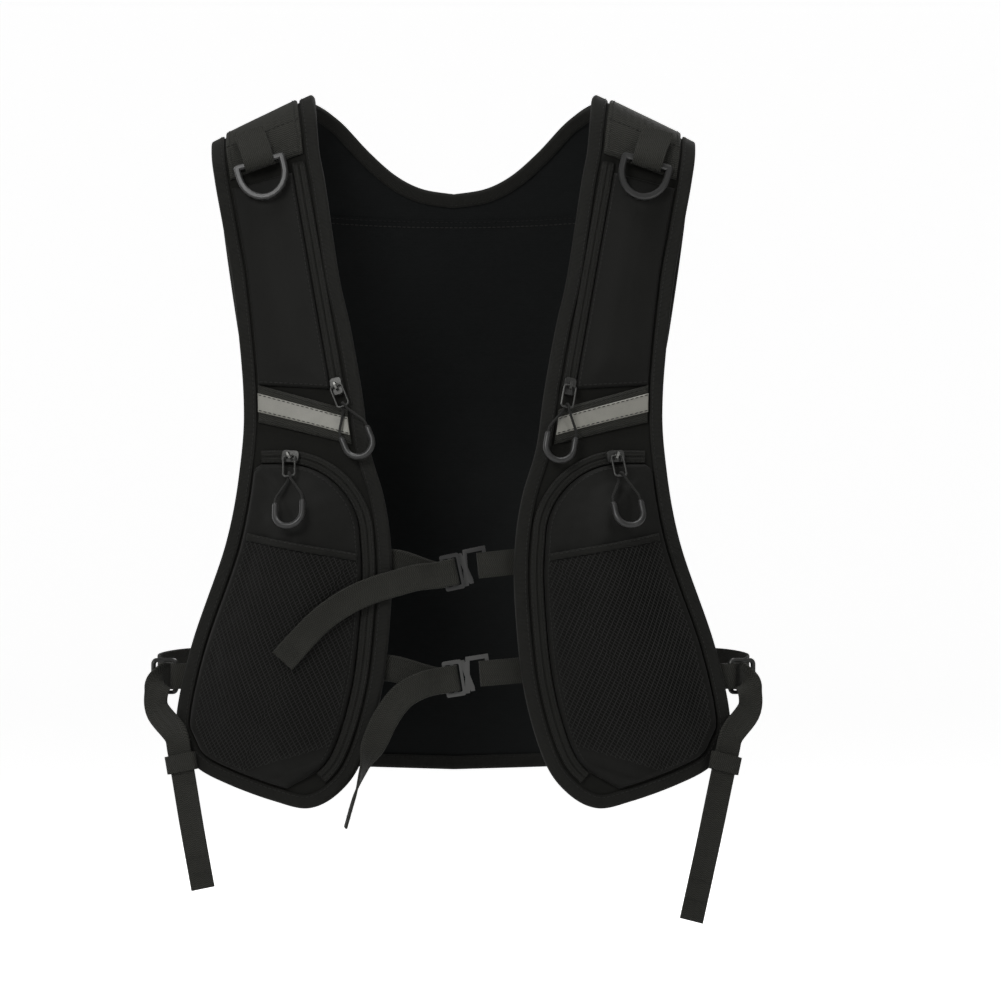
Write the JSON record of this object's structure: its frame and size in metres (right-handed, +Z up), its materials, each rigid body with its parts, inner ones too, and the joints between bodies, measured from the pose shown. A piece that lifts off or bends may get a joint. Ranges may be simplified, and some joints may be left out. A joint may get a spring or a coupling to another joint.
{
  "type": "utility vest",
  "caption": "Sleeveless vest of dark cloth with zipped shoulder and front pockets, D-rings, hook-buckle chest straps and side adjuster straps.",
  "frame": {"origin": "middle of the shoulder line, where the cloth turns over the shoulders, level with the point that a hanger or a wearer holds up", "axes": "+Z up as worn, +Y towards the back of the wearer, so the front faces -Y, and +X to the right of someone who looks at the front"},
  "size_m": [0.3511, 0.1517, 0.4708],
  "materials": {
    "panel_cloth": "plain-woven nylon, matt",
    "pocket_cloth": "woven stretch nylon, soft sheen",
    "lining": "knitted lining, matt",
    "binding": "ribbed grosgrain tape",
    "zip_tape": "coated zip tape",
    "mesh": "open knitted mesh",
    "webbing": "woven nylon webbing",
    "reflective": "grey retroreflective tape",
    "cord": "braided cord",
    "plastic": "moulded acetal, satin",
    "gunmetal": "dark plated zinc"
  },
  "bodies": {
    "vest": {"left_front_panel": "panel_cloth", "left_edge_binding": "binding", "left_strap_zip_tape": "zip_tape", "left_pocket_zip_tape": "zip_tape", "left_strap_pocket": "pocket_cloth", "left_cargo_pocket": "pocket_cloth", "left_mesh_pocket": "mesh", "left_shoulder_webbing": "webbing", "left_reflector_webbing": "webbing", "left_reflective_strip": "reflective", "left_dring_tab": "webbing", "left_side_tab": "webbing", "left_side_strap": "webbing", "left_tail_keeper": "webbing", "right_front_panel": "panel_cloth", "right_edge_binding": "binding", "right_strap_zip_tape": "zip_tape", "right_pocket_zip_tape": "zip_tape", "right_strap_pocket": "pocket_cloth", "right_cargo_pocket": "pocket_cloth", "right_mesh_pocket": "mesh", "right_shoulder_webbing": "webbing", "right_reflector_webbing": "webbing", "right_reflective_strip": "reflective", "right_dring_tab": "webbing", "right_side_tab": "webbing", "right_side_strap": "webbing", "right_tail_keeper": "webbing", "upper_chest_loop": "webbing", "lower_chest_loop": "webbing", "back_panel": "lining", "neck_binding": "binding", "back_edge_binding": "binding"},
    "left_dring": {"left_shoulder_dring": "plastic"},
    "left_strap_slider_body": {"left_strap_slider": "gunmetal"},
    "left_strap_pull": {"left_strap_pull_ring": "gunmetal", "left_strap_pull_cord": "cord", "left_strap_pull_grip": "plastic"},
    "left_pocket_slider_body": {"left_pocket_slider": "gunmetal"},
    "left_pocket_pull": {"left_pocket_pull_ring": "gunmetal", "left_pocket_pull_cord": "cord", "left_pocket_pull_grip": "plastic"},
    "left_side_ring_body": {"left_side_ring": "gunmetal"},
    "right_dring": {"right_shoulder_dring": "plastic"},
    "right_strap_slider_body": {"right_strap_slider": "gunmetal"},
    "right_strap_pull": {"right_strap_pull_ring": "gunmetal", "right_strap_pull_cord": "cord", "right_strap_pull_grip": "plastic"},
    "right_pocket_slider_body": {"right_pocket_slider": "gunmetal"},
    "right_pocket_pull": {"right_pocket_pull_ring": "gunmetal", "right_pocket_pull_cord": "cord", "right_pocket_pull_grip": "plastic"},
    "right_side_ring_body": {"right_side_ring": "gunmetal"},
    "upper_chest": {"upper_chest_buckle": "plastic", "upper_chest_strap": "webbing"},
    "lower_chest": {"lower_chest_buckle": "plastic", "lower_chest_strap": "webbing"}
  },
  "joints": [
    {"name": "left_dring_swing", "type": "hinge", "parent": "vest", "child": "left_dring", "pos_m": [-0.1101, -0.0332, -0.0196], "axis": [-0.9585, 0.054, -0.2801], "range_deg": [0, 130]},
    {"name": "left_strap_zip", "type": "slide", "parent": "vest", "child": "left_strap_slider_body", "axis": [-0.1704, 0.2352, 0.9569], "range_m": [0, 0.112]},
    {"name": "left_strap_pull_lift", "type": "hinge", "parent": "left_strap_slider_body", "child": "left_strap_pull", "pos_m": [-0.0664, -0.0666, -0.1467], "axis": [-0.9089, 0.1142, -0.401], "range_deg": [0, 140]},
    {"name": "left_pocket_zip", "type": "hinge", "parent": "vest", "child": "left_pocket_slider_body", "pos_m": [-0.0928, -0.0581, -0.2341], "axis": [0.3066, 0.9457, 0.1084], "range_deg": [0, 50]},
    {"name": "left_pocket_pull_hang", "type": "hinge", "parent": "left_pocket_slider_body", "child": "left_pocket_pull", "pos_m": [-0.0925, -0.0684, -0.1862], "axis": [0.3066, 0.9457, 0.1084], "range_deg": [-50, 0]},
    {"name": "left_side_ring_swing", "type": "hinge", "parent": "vest", "child": "left_side_ring_body", "pos_m": [-0.1572, -0.0356, -0.3112], "axis": [0, 0, -1], "range_deg": [0, 10]},
    {"name": "right_dring_swing", "type": "hinge", "parent": "vest", "child": "right_dring", "pos_m": [0.1101, -0.0332, -0.0196], "axis": [-0.9585, -0.054, 0.2801], "range_deg": [0, 130]},
    {"name": "right_strap_zip", "type": "slide", "parent": "vest", "child": "right_strap_slider_body", "axis": [0.1704, 0.2352, 0.9569], "range_m": [0, 0.112]},
    {"name": "right_strap_pull_lift", "type": "hinge", "parent": "right_strap_slider_body", "child": "right_strap_pull", "pos_m": [0.0664, -0.0666, -0.1467], "axis": [-0.963, -0.1648, 0.2134], "range_deg": [0, 140]},
    {"name": "right_pocket_zip", "type": "hinge", "parent": "vest", "child": "right_pocket_slider_body", "pos_m": [0.0928, -0.0581, -0.2341], "axis": [0.3066, -0.9457, -0.1084], "range_deg": [0, 50]},
    {"name": "right_pocket_pull_hang", "type": "hinge", "parent": "right_pocket_slider_body", "child": "right_pocket_pull", "pos_m": [0.0925, -0.0684, -0.1862], "axis": [0.3066, -0.9457, -0.1084], "range_deg": [-50, 0]},
    {"name": "right_side_ring_swing", "type": "hinge", "parent": "vest", "child": "right_side_ring_body", "pos_m": [0.1572, -0.0356, -0.3112], "axis": [0, 0, 1], "range_deg": [0, 10]},
    {"name": "upper_chest_unhook", "type": "hinge", "parent": "vest", "child": "upper_chest", "pos_m": [-0.0344, -0.0681, -0.2468], "axis": [0, -1, 0], "range_deg": [0, 35]},
    {"name": "lower_chest_unhook", "type": "hinge", "parent": "vest", "child": "lower_chest", "pos_m": [-0.038, -0.0678, -0.3063], "axis": [0, -1, 0], "range_deg": [0, 30]}
  ],
  "couplings": [
    {"joint": "left_pocket_pull_hang", "follows": "left_pocket_zip", "ratio": -1},
    {"joint": "right_pocket_pull_hang", "follows": "right_pocket_zip", "ratio": -1}
  ]
}
